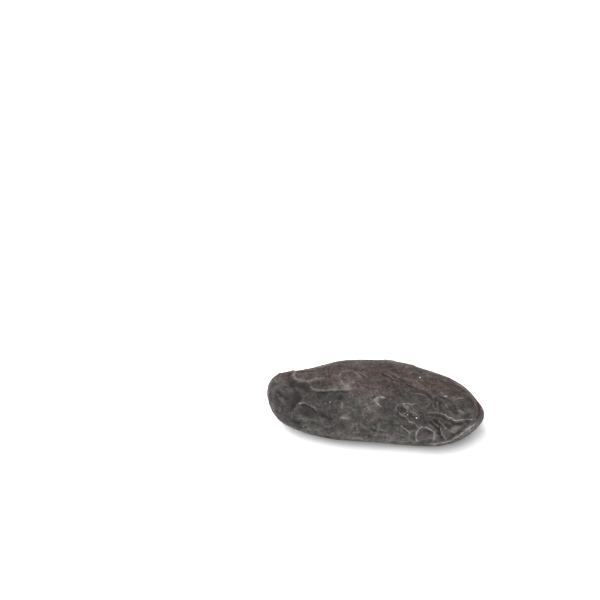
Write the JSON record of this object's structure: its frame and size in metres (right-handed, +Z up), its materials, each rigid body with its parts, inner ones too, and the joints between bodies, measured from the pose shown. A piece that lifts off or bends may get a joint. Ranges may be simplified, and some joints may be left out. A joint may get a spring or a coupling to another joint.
{
  "type": "tonka bean",
  "caption": "Whole dried tonka bean: a long, slightly flattened black seed with a wrinkled skin, lying on a broad side.",
  "frame": {"origin": "on the surface that the bean lies on, under the centre of its box", "axes": "+X along the bean from its narrow end to its broad end, +Z up from the surface that it lies on, -Y the side that its upper face leans towards"},
  "size_m": [0.038, 0.0164, 0.0105],
  "materials": {
    "bean_skin": "satin, dry and wrinkled, black-brown with paler grey-brown ridges and a reddish tinge at the ends"
  },
  "bodies": {
    "root": {"tonka_bean": "bean_skin"}
  },
  "joints": []
}
